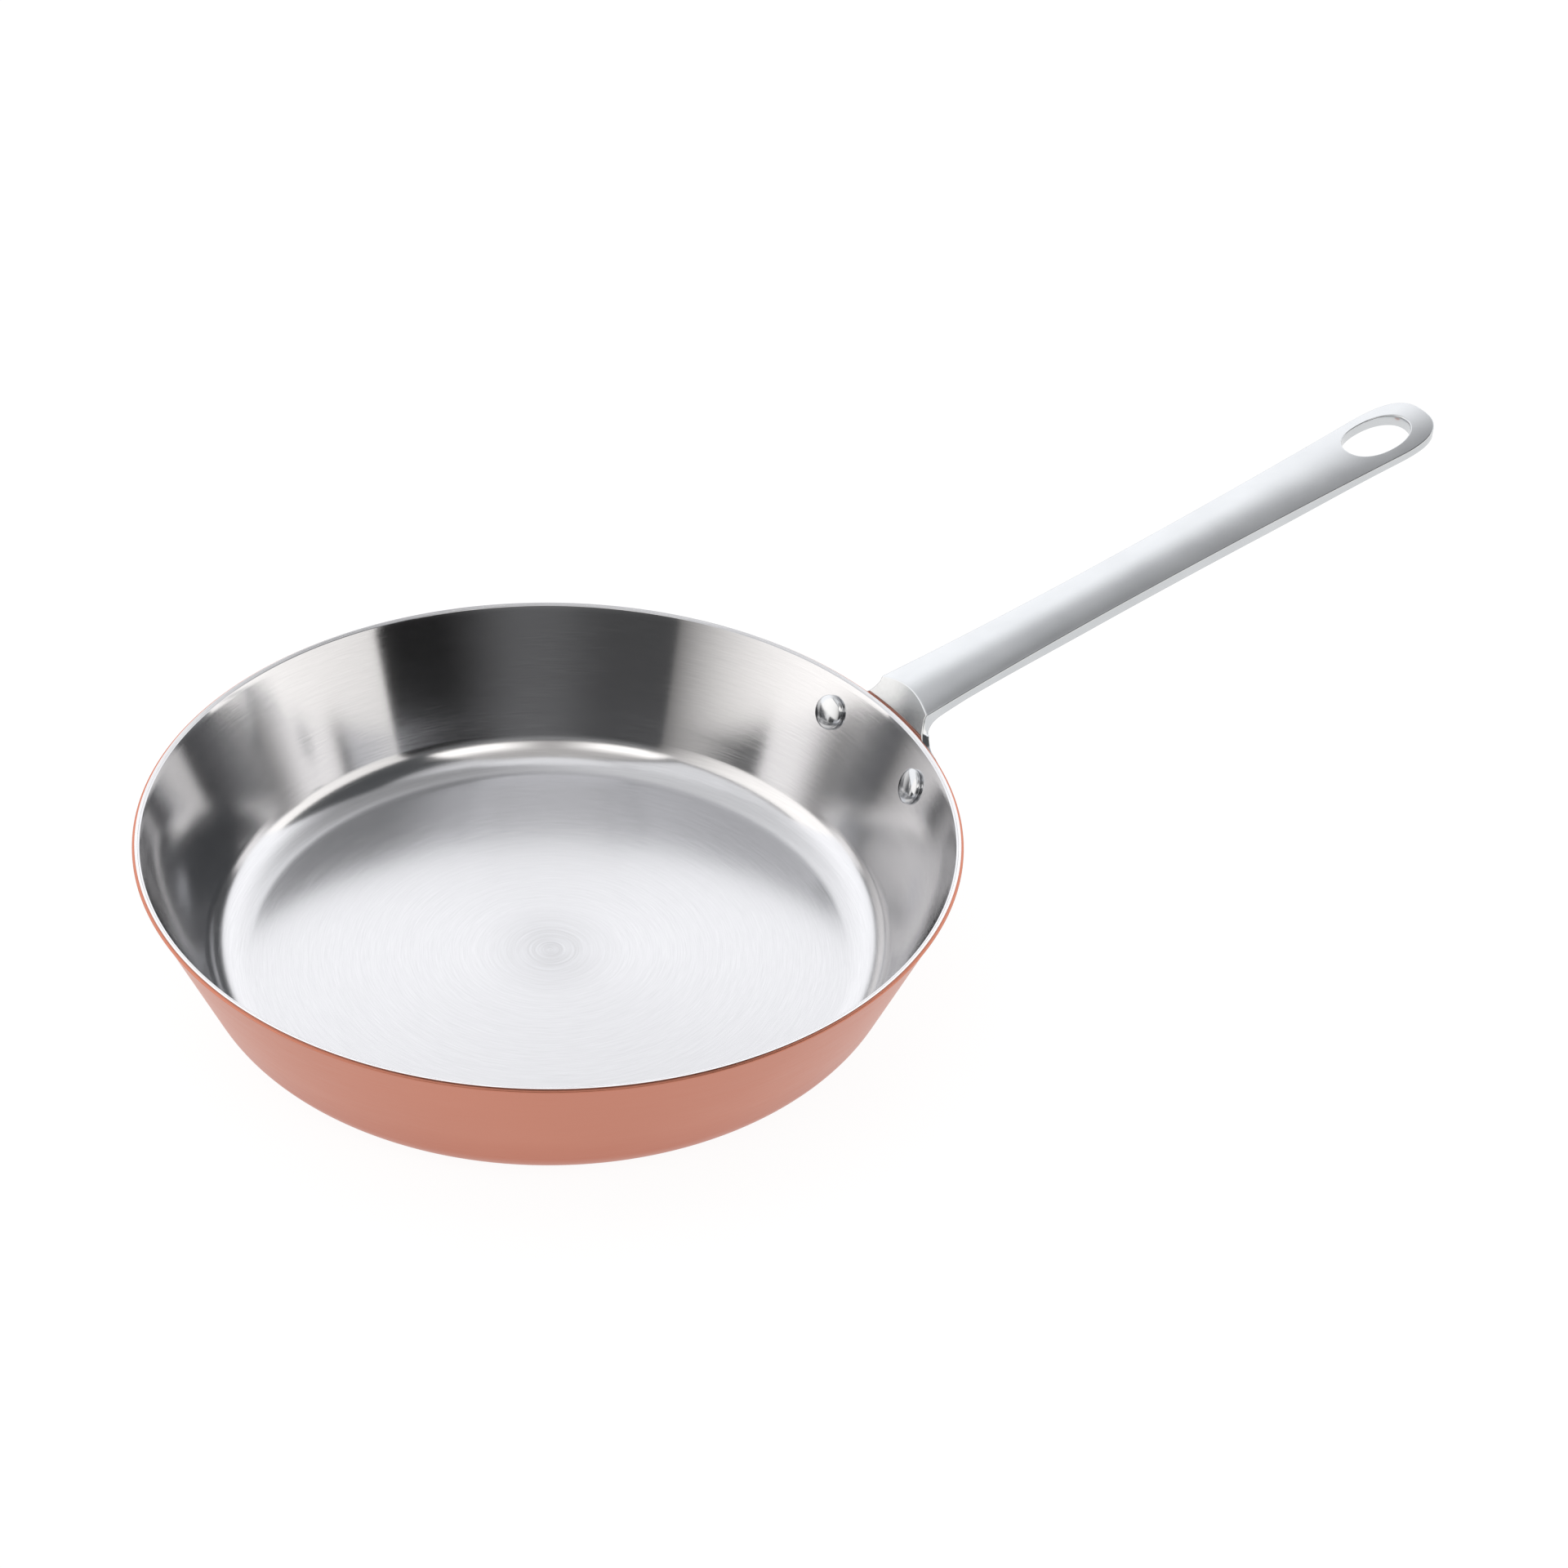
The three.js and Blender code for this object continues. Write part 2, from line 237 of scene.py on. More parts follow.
def lathe(name, profile, segments=SEGMENTS):
    """Closed skin of [radius, height] points that start and end on the axis."""
    angles = np.arange(segments) * 2 * pi / segments
    points = [(0, 0, profile[0][1])]
    for radius, height in profile[1:-1]:
        points += [(radius * cos(a), radius * sin(a), height) for a in angles]
    points.append((0, 0, profile[-1][1]))
    rings = len(profile) - 2
    last = len(points) - 1
    top_ring = last - segments
    faces = grid_faces(rings, segments, start=1, closed=True)
    for j in range(segments):
        k = (j + 1) % segments
        faces.append((0, 1 + k, 1 + j))
        faces.append((last, top_ring + j, top_ring + k))
    return make_object(name, points, faces)


def drill(piece, cutters):
    """Cuts the cutters out of the piece for good."""
    for cutter in cutters:
        cut = piece.modifiers.new("drill", "BOOLEAN")
        cut.operation = "DIFFERENCE"
        cut.solver = "EXACT"
        cut.object = cutter
    evaluated = piece.evaluated_get(bpy.context.evaluated_depsgraph_get())
    drilled = bpy.data.meshes.new_from_object(evaluated)
    piece.modifiers.clear()
    piece.data = drilled


# ---- the clad body -------------------------------------------------------------------


def wall_radius(height, depth=0.0):
    """Radius of the wall line that lies depth inside the outer wall."""
    return WALL_BASE + height / tan(WALL_ANGLE) - depth / sin(WALL_ANGLE)


def bowl_line(depth):
    """Floor, corner and lower wall of the surface depth inside the outer one, axis outwards."""
    centre = WALL_BASE - CORNER_RADIUS * tan(WALL_ANGLE / 2)
    radius = CORNER_RADIUS - depth
    floor = [(share * centre, depth) for share in FLOOR_SHARES]
    corner = arc(centre, CORNER_RADIUS, radius, -pi / 2, WALL_ANGLE - pi / 2, CORNER_STEPS)
    heights = np.linspace(corner[-1][1], HEIGHT - EDGE_BAND, WALL_STEPS)
    return floor + corner + [(wall_radius(z, depth), z) for z in heights[1:]]


def layer_profile(outer, inner, edge):
    return bowl_line(outer) + edge + bowl_line(inner)[::-1]


def rim_height(depth):
    """Top of core and lining at a depth: highest beside the copper."""
    inwards = (depth - CORE_DEPTHS[0]) / sin(WALL_ANGLE)
    return HEIGHT - inwards * RIM_SLOPE


def rounded_edge(outer, inner, outer_round, inner_round):
    """Sloping edge of a metal layer with both corners rounded, from outside to inside."""
    up_wall = Vector((cos(WALL_ANGLE), sin(WALL_ANGLE)))
    inwards = Vector((-1, -RIM_SLOPE)).normalized()
    points = []
    for depth, size, order in ((outer, outer_round, 1), (inner, inner_round, -1)):
        corner = Vector((wall_radius(rim_height(depth), depth), rim_height(depth)))
        bend = [corner - up_wall * size, corner, corner + inwards * size * order]
        points += [bezier(bend, share) for share in np.linspace(0, 1, 5)][::order]
    return [tuple(p) for p in points]


def copper_edge():
    """The copper's edge: a groove, then a bead rolled outwards and rounded over the top."""
    foot = HEIGHT - BEAD_FOOT
    top = HEIGHT - BEAD_TOP
    bulge = RIM_RADIUS - BEAD_MARGIN
    lead = [(wall_radius(foot - drop) - sunk, foot - drop) for drop, sunk in GROOVE_LEAD]
    groove = [(wall_radius(foot) - GROOVE, foot + rise) for rise in GROOVE_FLOOR]
    belly = arc(bulge - BELLY_ROUND, foot + BELLY_RISE, BELLY_ROUND, -pi / 3, 0, 4)
    shoulder = arc(bulge - SHOULDER_ROUND, top - SHOULDER_ROUND, SHOULDER_ROUND, 0, pi / 2, 8)
    return lead + groove + belly + shoulder + [(wall_radius(top, COPPER_DEPTH), top)]


# ---- the rivets ----------------------------------------------------------------------


def rivet_frame(side):
    """Places +Z along a rivet's axis, out and down through the wall, z = 0 on the lining."""
    out = Matrix.Rotation(pi - WALL_ANGLE, 4, "Y")
    start = Matrix.Translation((wall_radius(RIVET_HEIGHT, LINING_DEPTHS[1]), 0, RIVET_HEIGHT))
    return Matrix.Rotation(side * RIVET_AZIMUTH, 4, "Z") @ start @ out


def on_rivet_axis(piece, side):
    placed = rivet_frame(side)
    placed.translation *= MM
    piece.data.transform(placed)
    return piece


def rivet_cutters():
    """Rods that bore the hole of each rivet."""
    radius = SHANK_RADIUS + SHANK_FIT
    rod = [(0, -DRILL_REACH), (radius, -DRILL_REACH), (radius, DRILL_REACH), (0, DRILL_REACH)]
    return [on_rivet_axis(lathe("cutter", rod, DRILL_SEGMENTS), side) for side in (1, -1)]


def dome(radius, height, edge, steps=18):
    """[radius, rise] points from the top of a dome to the foot of its short rounded side."""
    turns = np.linspace(0, pi / 2, steps + 1)
    cap = [(radius * sin(t) ** DOME_POWER, lerp(edge, height, cos(t))) for t in turns]
    return cap + [(radius - 0.02, edge * 0.55), (radius - 0.12, 0.06), (radius - 0.2, 0)]


def rivet_profile():
    head = [(r, -HEAD_SEAT - rise) for r, rise in dome(HEAD_RADIUS, HEAD_HEIGHT, HEAD_EDGE)]
    tail = [(r, TAIL_SEAT + rise) for r, rise in dome(TAIL_RADIUS, TAIL_HEIGHT, TAIL_EDGE)]
    shank = [(SHANK_RADIUS, -HEAD_SEAT), (SHANK_RADIUS, TAIL_SEAT)]
    return head + shank + tail[::-1]


# ---- the handle's bar ----------------------------------------------------------------


def bar_half_width(s):
    """Half-width of the bar, which widens from its waist towards the root and the tip."""
    end, half = (TIP_START, TIP_HALF) if s > WAIST_AT else (ROOT_AT, ROOT_HALF)
    share = (s - WAIST_AT) / (end - WAIST_AT)
    return lerp(WAIST_HALF, half, share**2)


def edge_height(s):
    return TIP_EDGE_HEIGHT + SLOPE * (s - TIP_START)


def edge_thickness(s):
    grip = lerp(PLATE, GRIP_THICKNESS, smooth(s, *THICKENS))
    return lerp(grip, TIP_THICKNESS, smooth(s, *THINS))


def crown_height(s, y):
    """Top of the bar, highest along its middle line."""
    along = np.clip((s - ROOT_AT) / (TIP_START - ROOT_AT), 0, 1)
    rise = lerp(CROWN_AT_ROOT, CROWN_AT_TIP, along)
    full = bar_half_width(min(s, TIP_START))
    return edge_height(s) + rise * (1 - (y / full) ** 2)


def underside_height(s, y):
    """Underside of the bar with its shallow channel, which fades out at the root and the tip."""
    share = smooth(s, *CHANNEL_STARTS) * (1 - smooth(s, *CHANNEL_ENDS))
    half = bar_half_width(s)
    lip = max(half - CHANNEL_LIP, half / 2)
    across = min(1.0, abs(y) / lip)
    return edge_height(s) - edge_thickness(s) + CHANNEL_DEPTH * share * (1 - across**4)


def bent(s, y, z):
    """Point at distance s from the pan's axis, so that every row bends with the wall."""
    return Vector((sqrt(s * s - y * y), y, z))


def section(top, under, half):
    """Closed ring of points: across the top, down a side, across the underside, up the other."""
    inner = half - BEVEL
    down = (bent(*under(half)) - bent(*top(half))).normalized()

    def side(sign):
        leaving, arriving = [], []
        for a in BEVEL_TURNS:
            y = sign * (inner + BEVEL * sin(a))
            sunk = down * BEVEL * (1 - cos(a))
            leaving.append(bent(*top(y)) + sunk)
            arriving.append(bent(*under(y)) - sunk)
        return leaving + arriving[::-1]

    top_row = [bent(*top(y)) for y in ACROSS[::-1] * inner]
    under_row = [bent(*under(y)) for y in ACROSS * inner]
    return top_row + side(-1) + under_row + side(1)[::-1]


def bar_section(s):
    return section(
        lambda y: (s, y, crown_height(s, y)),
        lambda y: (s, y, underside_height(s, y)),
        bar_half_width(s),
    )


# ---- the handle's neck and flange ----------------------------------------------------


def rim_face_radius(z):
    """The leaning face that the handle shows above the rim."""
    return wall_radius(HEIGHT, -RIM_CLEARANCE) + (z - HEIGHT) / tan(FACE_ANGLE)


def crease(y):
    """Where the crowned top meets the leaning face, as [s, z]."""
    s = ROOT_AT
    for _ in range(12):
        s = rim_face_radius(crown_height(s, y))
    return Vector((s, crown_height(s, y)))


def top_of_neck(y, place):
    """Point of the top surface: place 0 to 1 along the crown, 1 to 2 down the leaning face."""
    corner = crease(y)
    tilt = atan(SLOPE)
    before = corner + Vector((cos(tilt), sin(tilt))) * CREASE_ROUND
    after = corner - Vector((cos(FACE_ANGLE), sin(FACE_ANGLE))) * CREASE_ROUND
    crease_start, crease_end = 1 - CREASE_SHARE, 1 + CREASE_SHARE
    if place < crease_start:
        s = lerp(NECK_START, before.x, place / crease_start)
        return s, y, crown_height(s, y)
    if place < crease_end:
        share = (place - crease_start) / (crease_end - crease_start)
        s, z = bezier([before, corner, after], share)
        return s, y, z
    z = lerp(after.y, HEIGHT, (place - crease_end) / (2 - crease_end))
    return rim_face_radius(z), y, z


def fillet_path():
    """Underside of the neck as [s, z]: from NECK_START, round the fillet and down the wall."""
    tilt = atan(SLOPE)
    wall_slope = tan(WALL_ANGLE)
    drop = PLATE + FILLET / cos(tilt)
    depth = PLATE_CLEARANCE + PLATE
    rise = wall_radius(0, -depth - FILLET) * wall_slope
    centre_s = (edge_height(0) - drop + rise) / (wall_slope - SLOPE)
    centre_z = edge_height(centre_s) - drop
    turn = arc(centre_s, centre_z, FILLET, pi / 2 + tilt, pi / 2 + WALL_ANGLE, 24)
    start = (NECK_START, edge_height(NECK_START) - PLATE)
    return resample([start, *turn, (wall_radius(NECK_FOOT, -depth), NECK_FOOT)], FILLET_STEPS)


def flange_outline():
    """[height, half-width] of the flared neck and the round ears, from the top down."""
    ear = wall_radius(RIVET_HEIGHT, LINING_DEPTHS[1]) * sin(RIVET_AZIMUTH)
    neck = bar_half_width(crease(0).x)
    flare = np.array([
        (FLARE_TOP, neck),
        (EAR_TOP + FLARE_PULL, neck + FLARE_PULL / 2),
        (EAR_TOP, neck + FLARE_PULL),
        (EAR_TOP, ear),
    ])
    points = [bezier(flare, share) for share in np.linspace(0, 1, OUTLINE_STEPS + 1)]
    points += arc(RIVET_HEIGHT, ear, EAR_RADIUS, 0, pi, OUTLINE_STEPS)[1:]
    return np.array(points)


FILLET_PATH = fillet_path()
OUTLINE = flange_outline()


def outline_half(z):
    """Half-width of neck and flange at a height."""
    return float(np.interp(-z, -OUTLINE[:, 0], OUTLINE[:, 1]))


def neck_section(place):
    """Section of the neck; the flare beside the bar stays as thin as the plate."""
    middle_s, middle_z = FILLET_PATH[round(place / 2 * (len(FILLET_PATH) - 1))]

    def top(y):
        return top_of_neck(y, place)

    def under(y):
        s, _, z = top(y)
        thin = smooth(abs(y), THICK_HALF, THIN_HALF)
        return lerp(middle_s, s + PLATE / sin(WALL_ANGLE), thin), y, lerp(middle_z, z, thin)

    edge_s, _, edge_z = top(ROOT_HALF)
    half = bar_half_width(edge_s) if place < 1 else outline_half(edge_z)
    return section(top, under, half)


def plate_section(z, clearance, squeeze=0.0):
    """Section of the flange that lies on the wall, thinned by squeeze at its lower edge."""
    half = outline_half(z)
    middle_z = lerp(EAR_FOOT, NECK_FOOT, (z - EAR_FOOT) / (HEIGHT - EAR_FOOT))
    back = -(PLATE_CLEARANCE + PLATE - squeeze)
    thin_half = max(THIN_HALF, THIN_SHARE * half)

    def top(y):
        return wall_radius(z, -clearance - squeeze), y, z

    def under(y):
        height = lerp(middle_z, z, smooth(abs(y), THICK_HALF, thin_half))
        return wall_radius(height, back), y, height

    return section(top, under, half)


def flange_sections():
    """From the rim down to the rounded lower edge, over the step that clears the bead."""
    sections = [plate_section(z, RIM_CLEARANCE) for z in STEP_HEIGHTS]
    flare = [lerp(EAR_TOP, STEP_FOOT, share**2) for share in np.linspace(1, 0.1, 12)]
    ears = [RIVET_HEIGHT + EAR_RADIUS * cos(turn) for turn in np.linspace(0, pi, EAR_ROWS)]
    bevel_start = EAR_FOOT + BEVEL
    ears = [z for z in ears if z > bevel_start + ROW_GAP]
    sections += [plate_section(z, PLATE_CLEARANCE) for z in flare + ears]
    for a in (0, *BEVEL_TURNS):
        z = bevel_start - BEVEL * sin(a)
        sections.append(plate_section(z, PLATE_CLEARANCE, BEVEL * (1 - cos(a))))
    return sections


def close_flange(skin, last):
    """Closes the ring of the last section, which is the lower edge of the flange."""
    columns, turns = len(ACROSS), 2 * len(BEVEL_TURNS)
    top_row, rest = last[:columns], last[columns:]
    left, rest = rest[:turns], rest[turns:]
    under_row, right = rest[:columns], rest[columns:]
    skin.grid([top_row, under_row[::-1]])
    skin.face([top_row[-1], *left, under_row[0]])
    skin.face([*right, top_row[0], under_row[-1]])


# ---- the handle's tip ----------------------------------------------------------------


def tip_share(s):
    """Share of the half-width that the rounding of the tip leaves."""
    past = max(0.0, s - TIP_START) / (TIP_END - TIP_START)
    return max(0.0, 1 - past**TIP_ROUNDNESS) ** (1 / TIP_ROUNDNESS)


def tip_outline():
    """[s, y] round the tip from one end of the last straight row to the other, and its normals."""
    rounded = [lerp(TIP_START, TIP_END, share) for share in np.sin(np.linspace(0, pi / 2, 400))]
    side = [(s, bar_half_width(s)) for s in np.linspace(PATCH_START, TIP_START, 60)]
    side += [(s, bar_half_width(s) * tip_share(s)) for s in rounded[1:]]
    half = resample(side, TIP_STEPS)
    outline = np.concatenate([half, half[-2::-1] * (1, -1)])
    along = np.gradient(outline, axis=0)
    normals = np.stack([-along[:, 1], along[:, 0]], axis=1)
    normals /= np.linalg.norm(normals, axis=1)[:, None]
    normals[0], normals[-1] = (0, 1), (0, -1)
    return outline, normals


def patch_boundary(inset):
    """The tip's inset outline, closed by the bar's last row."""
    row = [(PATCH_START, y) for y in ACROSS[1:-1] * inset[0][1]]
    return np.concatenate([inset, row])


def hole_points(boundary, grow):
    """Points of the hole's outline in the directions of the boundary's points."""
    offsets = boundary - (HOLE_AT, 0)
    directions = offsets / np.linalg.norm(offsets, axis=1)[:, None]
    shares = np.abs(directions) / HOLE_HALVES
    reach = (shares**HOLE_ROUNDNESS).sum(axis=1) ** (-1 / HOLE_ROUNDNESS)
    return directions * (reach + grow)[:, None] + (HOLE_AT, 0)


def laid_on(surface, ring, lift=0.0):
    """The ring's [s, y] points on the top or the underside, or lifted from it."""
    return [bent(s, y, surface(s, y) + lift) for s, y in ring]


def add_tip(skin):
    """Top, underside, rounded side and hole wall of the tip."""
    outline, normals = tip_outline()
    boundary = patch_boundary(outline - normals * BEVEL)
    hole = hole_points(boundary, HOLE_BEVEL)
    shares = (1 - np.cos(np.linspace(0, pi, PATCH_RINGS))) / 2
    rings = [lerp(hole, boundary, share) for share in shares]
    skin.grid([laid_on(crown_height, ring) for ring in rings], closed=True)
    skin.grid([laid_on(underside_height, ring) for ring in rings], closed=True)

    side, wall = [], []
    for surface, inwards, turns in (
        (crown_height, -1, [0, *BEVEL_TURNS]),
        (underside_height, 1, [*BEVEL_TURNS[::-1], 0]),
    ):
        for a in turns:
            short, sunk = 1 - sin(a), inwards * (1 - cos(a))
            side.append(laid_on(surface, outline - normals * BEVEL * short, BEVEL * sunk))
            edge = hole_points(boundary, HOLE_BEVEL * short)
            wall.append(laid_on(surface, edge, HOLE_BEVEL * sunk))
    skin.grid(side)
    skin.grid(wall, closed=True)


def handle_skin():
    """Bar, neck, flange and tip, as patches that meet point to point."""
    places = [
        *np.linspace(0, 0.88, 14)[1:],
        *np.linspace(0.88, 1.12, 13)[1:],  # close together round the crease
        *np.linspace(1.12, 2, 10)[1:],
    ]
    sections = [bar_section(s) for s in np.linspace(PATCH_START, NECK_START, BAR_ROWS)]
    sections += [neck_section(place) for place in places]
    sections += flange_sections()
    skin = Skin()
    skin.grid(sections, closed=True)
    close_flange(skin, sections[-1])
    add_tip(skin)
    return skin


# ---- materials -----------------------------------------------------------------------


class Nodes:
    """Short names for building one material's node tree."""

    def __init__(self, name):
        self.material = bpy.data.materials.new(name)
        self.material.use_nodes = True
        self.tree = self.material.node_tree
        self.shader = self.tree.nodes["Principled BSDF"]

    def add(self, kind, inputs=(), **settings):
        node = self.tree.nodes.new(kind)
        for key, value in settings.items():
            setattr(node, key, value)
        for key, value in dict(inputs).items():
            self.put(node.inputs[key], value)
        return node

    def put(self, socket, value):
        """Gives a socket a value, or another node's output."""
        if isinstance(value, bpy.types.NodeSocket):
            self.tree.links.new(value, socket)
        else:
            socket.default_value = value

    def set(self, name, value):
        """Gives the shader's socket of that name a value, or another node's output."""
        self.put(self.shader.inputs[name], value)

    def math(self, operation, a, b=0.0):
        return self.add("ShaderNodeMath", {0: a, 1: b}, operation=operation).outputs[0]

    def noise(self, vector, scale, detail=2.0):
        node = self.add("ShaderNodeTexNoise", {"Vector": vector, "Scale": scale, "Detail": detail})
        return node.outputs["Fac"]

    def ramp(self, value, low, high, at_low, at_high):
        """Changes evenly from at_low to at_high while value goes from low to high."""
        node = self.add(
            "ShaderNodeMapRange",
            {"Value": value, "From Min": low, "From Max": high, "To Min": at_low, "To Max": at_high},
        )
        return node.outputs["Result"]

    def spread(self, noise, low, high):
        """Maps noise, which stays near the middle, to the range low to high."""
        return self.ramp(noise, 0.3, 0.7, low, high)

    def tint(self, share, dark, light):
        """Colour between dark and light; each may be a colour or another node's output."""
        node = self.add("ShaderNodeMix", {"Factor": share}, data_type="RGBA")
        sockets = [socket for socket in node.inputs if socket.type == "RGBA"]
        for socket, colour in zip(sockets, (dark, light)):
            self.put(socket, (*colour, 1) if isinstance(colour, tuple) else colour)
        return next(socket for socket in node.outputs if socket.type == "RGBA")

    def bump(self, height, strength, distance):
        inputs = {"Height": height, "Strength": strength, "Distance": distance}
        self.set("Normal", self.add("ShaderNodeBump", inputs).outputs["Normal"])

    def position(self):
        return self.add("ShaderNodeTexCoord").outputs["Object"]

    def height(self, position):
        return self.add("ShaderNodeSeparateXYZ", {0: position}).outputs["Z"]

    def radius(self, position):
        """Distance from the pan's axis."""
        flat = self.add("ShaderNodeVectorMath", {0: position, 1: (1, 1, 0)}, operation="MULTIPLY")
        length = self.add("ShaderNodeVectorMath", {0: flat.outputs[0]}, operation="LENGTH")
        return length.outputs["Value"]

    def turned(self, position, along, across, detail=2.0):
        """Noise drawn out into marks that run round the axis, finer across than along."""
        x, y, z = self.add("ShaderNodeSeparateXYZ", {0: position}).outputs
        profile = self.math("ADD", self.radius(position), z)
        joined = self.add(
            "ShaderNodeCombineXYZ",
            {
                0: self.math("MULTIPLY", x, along),
                1: self.math("MULTIPLY", y, along),
                2: self.math("MULTIPLY", profile, across),
            },
        )
        return self.noise(joined.outputs[0], 1.0, detail)


def metal(name, roughness, anisotropic=0.0):
    """Metal whose highlights are drawn out across the turned marks where it is anisotropic."""
    nodes = Nodes(name)
    nodes.set("Metallic", 1.0)
    nodes.set("Roughness", roughness)
    nodes.set("Anisotropic", anisotropic)
    if anisotropic:
        nodes.set("Anisotropic Rotation", 0.25)
        tangent = nodes.add("ShaderNodeTangent", direction_type="RADIAL", axis="Z")
        nodes.set("Tangent", tangent.outputs[0])
    return nodes


def brushed_steel():
    """Lining: fine brushing that runs round the pan, satin on the floor and smoother up the wall,
    with a faint spun swirl in the middle of the floor."""
    nodes = metal("brushed_steel", 0.2, 0.6)
    position = nodes.position()
    height = nodes.height(position)
    fine = nodes.math("MULTIPLY", nodes.turned(position, 130, 4200, 3.0), 0.75)
    coarse = nodes.math("MULTIPLY", nodes.turned(position, 45, 1100), 0.25)
    marks = nodes.math("ADD", fine, coarse)
    nodes.bump(marks, nodes.ramp(height, 4 * MM, 20 * MM, 0.015, 0.26), 0.02 * MM)

    brushed = nodes.tint(nodes.spread(marks, 0, 1), (0.6, 0.602, 0.615), (0.67, 0.672, 0.685))
    rings = nodes.spread(nodes.turned(position, 60, 1300), 0, 1)
    worn = nodes.tint(rings, (0.5, 0.5, 0.51), (0.59, 0.595, 0.61))
    swirl = nodes.ramp(nodes.radius(position), 1 * MM, 24 * MM, 1, 0)
    nodes.set("Base Color", nodes.tint(swirl, brushed, worn))

    even = nodes.ramp(height, 3 * MM, 12 * MM, 0.19, 0.115)
    nodes.set("Roughness", nodes.math("ADD", even, nodes.spread(marks, -0.015, 0.015)))
    return nodes.material


def bare_aluminium():
    """Edge of the core: turned, with a slight grain."""
    nodes = metal("bare_aluminium", 0.22)
    fine = nodes.turned(nodes.position(), 60, 3000)
    colour = nodes.tint(nodes.spread(fine, 0, 1), (0.66, 0.66, 0.67), (0.76, 0.76, 0.77))
    nodes.set("Base Color", colour)
    nodes.set("Roughness", nodes.spread(fine, 0.18, 0.26))
    return nodes.material


def satin_copper():
    """Outside: warm satin copper with spun marks round it, and a painted shade near the underside
    that stands in for the shadowed floor it reflects there.
    """
    nodes = metal("satin_copper", 0.34, 0.4)
    position = nodes.position()
    fine = nodes.turned(position, 70, 2200, 3.0)
    clouds = nodes.noise(position, 16.0, 3.0)
    tone = nodes.math("ADD", nodes.spread(clouds, -0.25, 0.25), nodes.spread(fine, 0.35, 0.65))
    spun = nodes.tint(tone, (0.53, 0.203, 0.134), (0.57, 0.224, 0.15))
    # painted shade: the copper darkens towards the underside, in place of the reflection of the
    # pan's shadow on the floor
    low = nodes.ramp(nodes.height(position), 2 * MM, 22 * MM, 1, 0)
    nodes.set("Base Color", nodes.tint(low, spun, (0.49, 0.165, 0.105)))
    nodes.set("Roughness", nodes.spread(fine, 0.3, 0.38))
    nodes.bump(fine, 0.15, 0.03 * MM)
    return nodes.material


def polished_steel(name, roughness):
    """Cast handle and rivets: polished, with a faint haze and rubbing marks."""
    nodes = metal(name, roughness)
    position = nodes.position()
    haze = nodes.noise(position, 60.0, 3.0)
    rubbing = nodes.add("ShaderNodeMapping", {"Vector": position, "Scale": (40, 900, 900)})
    marks = nodes.noise(rubbing.outputs[0], 1.0)
    colour = nodes.tint(nodes.spread(haze, 0, 1), (0.565, 0.58, 0.593), (0.615, 0.63, 0.643))
    nodes.set("Base Color", colour)
    even = nodes.spread(haze, 0.8 * roughness, roughness)
    nodes.set("Roughness", nodes.math("ADD", even, nodes.spread(marks, 0, 0.03)))
    nodes.bump(marks, 0.05, 0.02 * MM)
    return nodes.material


# ---- pieces --------------------------------------------------------------------------


def fit(piece, node, material):
    """Shades a finished piece smoothly, but for its real edges, and puts it in its node's place."""
    piece.data.materials.clear()
    piece.data.materials.append(material)
    piece.data.shade_smooth()
    piece.data.set_sharp_from_angle(angle=radians(40))
    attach(piece, "root")
    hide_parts(node)


def build_layer(name, depths, edge):
    return lathe(name, layer_profile(*depths, edge))


def build_pan():
    """All six pieces, with the holes for the rivets drilled through wall and flange."""
    copper = build_layer("copper_outside", (0, COPPER_DEPTH), copper_edge())
    core = build_layer("aluminium_layer", CORE_DEPTHS, rounded_edge(*CORE_DEPTHS, *CORE_ROUNDS))
    lining = build_layer("steel_inside", LINING_DEPTHS, rounded_edge(*LINING_DEPTHS, *LINING_ROUNDS))
    skin = handle_skin()
    handle = make_object("handle_casting", skin.points, skin.faces)
    cutters = rivet_cutters()
    for piece in (copper, core, lining, handle):
        drill(piece, cutters)
    for cutter in cutters:
        bpy.data.objects.remove(cutter)

    fit(copper, "copper_shell", satin_copper())
    fit(core, "aluminium_core", bare_aluminium())
    fit(lining, "steel_lining", brushed_steel())
    fit(handle, "handle", polished_steel("polished_casting", 0.16))
    rivet_steel = polished_steel("polished_rivet", 0.12)
    for side, name in ((1, "rivet_left"), (-1, "rivet_right")):
        rivet = lathe(name + "_polished", rivet_profile(), RIVET_SEGMENTS)
        fit(on_rivet_axis(rivet, side), name, rivet_steel)


# ---- camera and studio, in metres ----------------------------------------------------

HEADING = radians(33.44)  # clockwise from +Y, seen from above
CAMERA_AT = Vector((-0.4543, -0.8195, 0.7318))
PITCH = radians(35.24)  # down
ROLL = radians(2.83)
LENS = 84.46
STAND = atan(CAMERA_AT.x / CAMERA_AT.y)  # heading from the camera to the pan's axis
COOL = (0.985, 0.985, 1.0)
WARM = (1.0, 0.97, 0.94)
ROOM = (0.94, 0.98, 1.02)
ROOM_LIGHT = 0.1
CARD_DISTANCE = 2.5
CARD_STEPS = 24
FLOOR_REACH = 30
FLOOR_DROP = 0.3 * MM  # just clear of the underside of the pan
FLOOR_LIGHT = 0.93


def add_camera():
    data = bpy.data.cameras.new("camera")
    data.lens = LENS
    data.sensor_width = 36
    camera = link("camera", data)
    turned = Matrix.Rotation(-HEADING, 3, "Z")
    tipped = Matrix.Rotation(pi / 2 - PITCH, 3, "X")
    rolled = Matrix.Rotation(ROLL, 3, "Z")
    camera.matrix_world = Matrix.Translation(CAMERA_AT) @ (turned @ tipped @ rolled).to_4x4()
    bpy.context.scene.camera = camera


def glowing(name, base, tint):
    """Matt material that gives light of its own."""
    nodes = Nodes(name)
    nodes.set("Base Color", (base, base, base, 1))
    nodes.set("Specular IOR Level", 0)
    nodes.set("Emission Color", (*tint, 1))
    return nodes


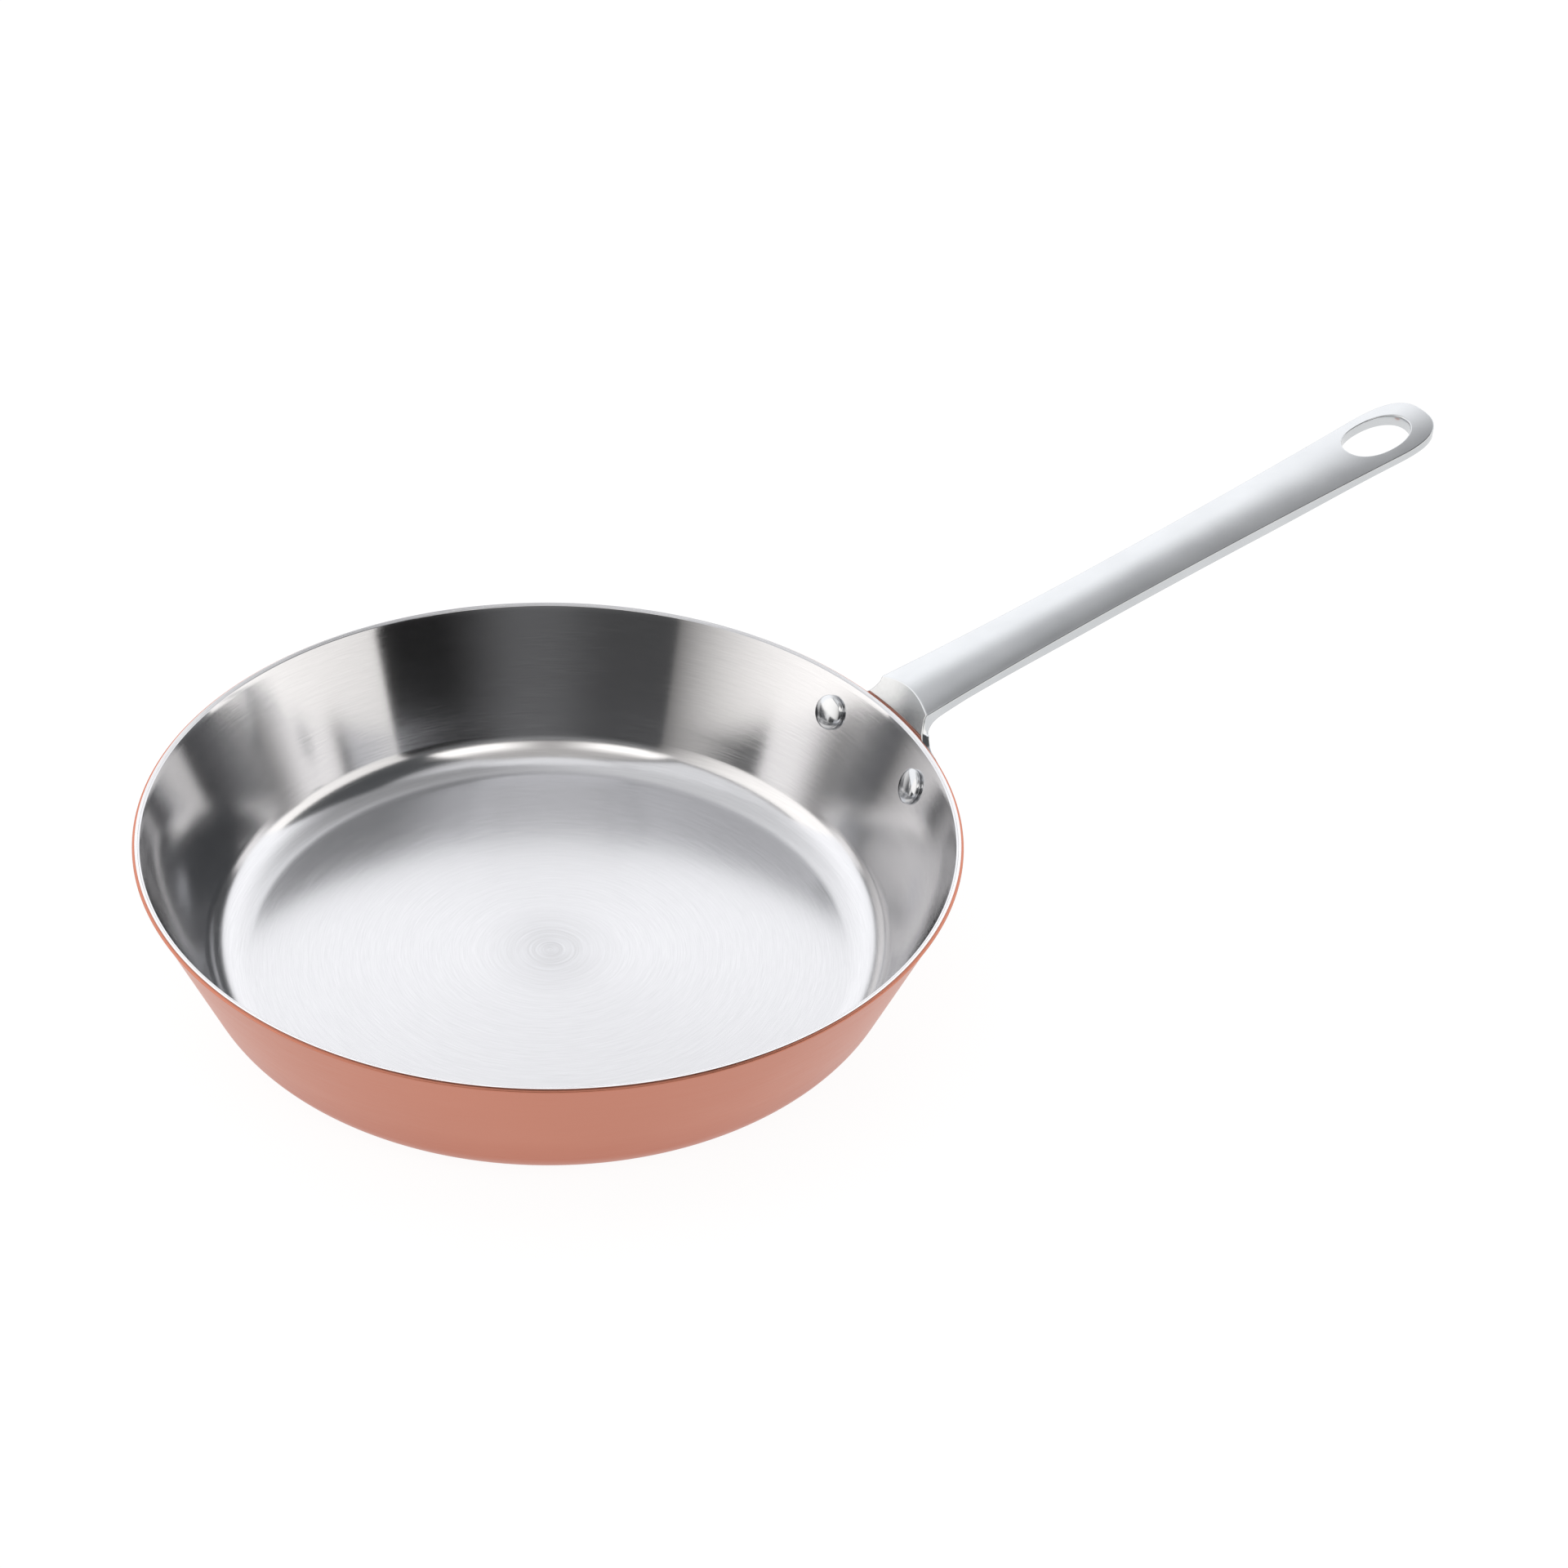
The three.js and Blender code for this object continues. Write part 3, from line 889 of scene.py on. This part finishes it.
def sky_point(azimuth, elevation):
    """Point at the cards' distance; azimuths run clockwise from the far side of the pan."""
    turn, lift = STAND + radians(azimuth), radians(elevation)
    across = CARD_DISTANCE * cos(lift)
    return across * sin(turn), across * cos(turn), CARD_DISTANCE * sin(lift)


def add_card(name, azimuths, elevations, tint, glow):
    """Curved card facing the pan, between two azimuths and two elevations in degrees. glow gives
    its brightness at a share of the way along each of them."""
    points, levels = [], []
    shares = np.linspace(0, 1, CARD_STEPS + 1)
    for v in shares:
        for u in shares:
            points.append(sky_point(lerp(*azimuths, u), lerp(*elevations, v)))
            levels.append(glow(u, v))
    mesh = bpy.data.meshes.new(name)
    mesh.from_pydata(points, [], grid_faces(len(shares), len(shares)))
    mesh.attributes.new("glow", "FLOAT", "POINT").data.foreach_set("value", levels)
    nodes = glowing(name, 0, tint)
    level = nodes.add("ShaderNodeAttribute", attribute_name="glow")
    nodes.set("Emission Strength", level.outputs["Fac"])
    mesh.materials.append(nodes.material)
    card = link(name, mesh)
    card.visible_camera = False


def add_floor():
    """Pale floor that gives light, so that it stays white under and round the pan."""
    corners = [
        (FLOOR_REACH * x, FLOOR_REACH * y, -FLOOR_DROP)
        for x, y in ((-1, -1), (1, -1), (1, 1), (-1, 1))
    ]
    mesh = bpy.data.meshes.new("floor")
    mesh.from_pydata(corners, [], [(0, 1, 2, 3)])
    nodes = glowing("pale_floor", 0.12, (1, 1, 1))
    nodes.set("Roughness", 1)
    nodes.set("Emission Strength", FLOOR_LIGHT)
    mesh.materials.append(nodes.material)
    link("floor", mesh)


def back_glow(u, v):
    """Bright up to the middle heights, then dimmer, most of all towards the right."""
    high = lerp(0.88, 0.42, smooth(u, 0.4, 0.68))
    return lerp(1.5, high, smooth(v, 0.38, 0.74))


def front_glow(u, v):
    """Bright low down on both sides of the camera, dimmer in the middle and higher up."""
    sides = smooth(abs(2 * u - 1), 0, 0.55) * (1 - smooth(v, 0.24, 0.6))
    return lerp(0.62, 2.0, sides)


def gap_glow(u, v):
    """Nearly black towards the right, with a little light in the middle and towards its top."""
    middle = smooth(u, 0.2, 0.5) - 0.5 * smooth(u, 0.55, 0.8)
    return 0.015 + 0.13 * middle + 0.2 * smooth(v, 0.5, 1)


def add_studio():
    """A dim room with pale cards all round and a dark gap where the camera stands."""
    world = bpy.data.worlds.new("studio")
    world.use_nodes = True
    background = world.node_tree.nodes["Background"]
    background.inputs["Color"].default_value = (*ROOM, 1)
    background.inputs["Strength"].default_value = ROOM_LIGHT
    bpy.context.scene.world = world
    add_floor()
    add_card("overhead_card", (0, 360), (79.5, 89.9), COOL, lambda u, v: 1.15)
    add_card("right_top_card", (76, 135), (64, 79), COOL, lambda u, v: lerp(0.5, 1.15, v))
    add_card("back_card", (-75, 75), (5, 79), COOL, back_glow)
    add_card("right_card", (75, 130), (0, 30), WARM, lambda u, v: lerp(1.7, 1.15, u))
    add_card("left_card", (-75, -144), (0, 42), WARM, lambda u, v: lerp(1.65, 0.25, u**3))
    add_card("left_top_card", (-75, -130), (45, 79), COOL, lambda u, v: 1.05)
    add_card("front_card", (136, 224), (36, 79), WARM, front_glow)
    add_card("camera_gap", (130, 216), (0, 33), COOL, gap_glow)
    bpy.context.scene.view_settings.view_transform = "Standard"
    bpy.context.scene.view_settings.look = "None"


build_pan()
add_camera()
add_studio()
